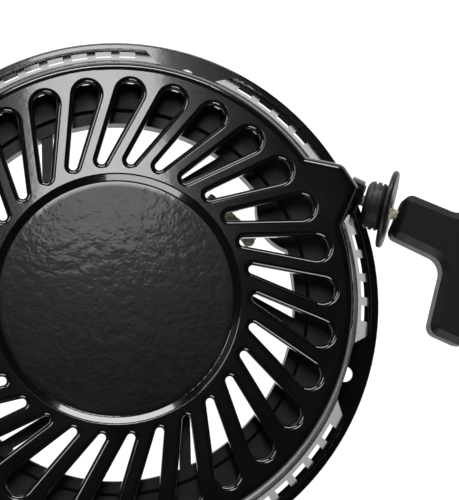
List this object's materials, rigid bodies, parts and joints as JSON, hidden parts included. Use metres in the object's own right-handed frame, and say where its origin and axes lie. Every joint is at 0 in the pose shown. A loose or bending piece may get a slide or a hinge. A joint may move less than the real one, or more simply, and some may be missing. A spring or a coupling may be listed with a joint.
{
  "type": "recoil starter",
  "caption": "Pull-rope starter: slotted round case with bolting pads, a spooled return reel with ratchet pawls, and a T-shaped pull handle.",
  "frame": {"origin": "on the starter's axis, in the plane of the flange that bolts to the engine", "axes": "+Z out through the slotted face, +X the way the rope is pulled"},
  "size_m": [0.2731, 0.2502, 0.05],
  "materials": {
    "case_paint": "gloss black stoving paint over pressed steel, light orange peel",
    "reel_plastic": "moulded black nylon, semi-matt",
    "grip_plastic": "moulded black plastic, satin gloss",
    "guard_plastic": "thin moulded black disc, glossy",
    "bumper_rubber": "black rubber with ring grooves",
    "eyelet_plastic": "hard black wear bush",
    "rope_fibre": "braided cream nylon rope with a yellow-green fleck",
    "machined_steel": "turned steel, light oil film",
    "zinc_steel": "zinc-plated steel",
    "hardened_steel": "case-hardened steel, dark",
    "spring_steel": "blued spring steel",
    "cover_steel": "thin rolled sheet",
    "bush_bronze": "sintered bronze"
  },
  "bodies": {
    "case": {"starter_case": "case_paint", "rope_eyelet": "eyelet_plastic", "centre_post": "machined_steel", "spring_anchor_pin": "machined_steel", "recoil_spring": "spring_steel", "thrust_washer": "zinc_steel", "guide_sleeve": "machined_steel", "retaining_washer": "zinc_steel", "centre_bolt": "zinc_steel", "friction_spring": "spring_steel"},
    "reel": {"reel": "reel_plastic", "reel_bush": "bush_bronze", "spring_cover": "cover_steel", "rope_coil": "rope_fibre", "rope_tail_knot": "rope_fibre", "pawl_pins": "machined_steel", "pawl_spring_1": "spring_steel", "pawl_spring_2": "spring_steel"},
    "guide": {"ratchet_guide": "zinc_steel"},
    "pawl_a": {"pawl_1": "hardened_steel"},
    "pawl_b": {"pawl_2": "hardened_steel"},
    "handle": {"rope_run": "rope_fibre", "handle_bumper": "bumper_rubber", "guard_disc": "guard_plastic", "handle_grip": "grip_plastic", "knot_washer": "zinc_steel", "handle_knot": "rope_fibre", "grip_plug": "grip_plastic"}
  },
  "joints": [
    {"name": "reel_turn", "type": "hinge", "parent": "case", "child": "reel", "pos_m": [0, 0, 0], "axis": [0, 0, -1], "range_deg": [0, 720], "stiffness_Nm_per_rad": 0.1, "springref_deg": -286.48, "deforming": ["recoil_spring"]},
    {"name": "handle_pull", "type": "slide", "parent": "case", "child": "handle", "axis": [1, 0, 0], "range_m": [0, 1.096], "deforming": ["rope_run"]},
    {"name": "guide_drag", "type": "hinge", "parent": "reel", "child": "guide", "pos_m": [0, 0, 0], "axis": [0, 0, 1], "range_deg": [0, 20]},
    {"name": "pawl_a_swing", "type": "hinge", "parent": "reel", "child": "pawl_a", "pos_m": [0.02338, 0.0135, 0], "axis": [0, 0, 1], "range_deg": [0, 25.1], "stiffness_Nm_per_rad": 0.01},
    {"name": "pawl_b_swing", "type": "hinge", "parent": "reel", "child": "pawl_b", "pos_m": [-0.02338, -0.0135, 0], "axis": [0, 0, 1], "range_deg": [0, 25.1], "stiffness_Nm_per_rad": 0.01}
  ],
  "couplings": [
    {"joint": "handle_pull", "follows": "reel_turn", "m_per_rad": 0.0872},
    {"joint": "pawl_a_swing", "follows": "guide_drag", "ratio": 1.25},
    {"joint": "pawl_b_swing", "follows": "guide_drag", "ratio": 1.25}
  ]
}
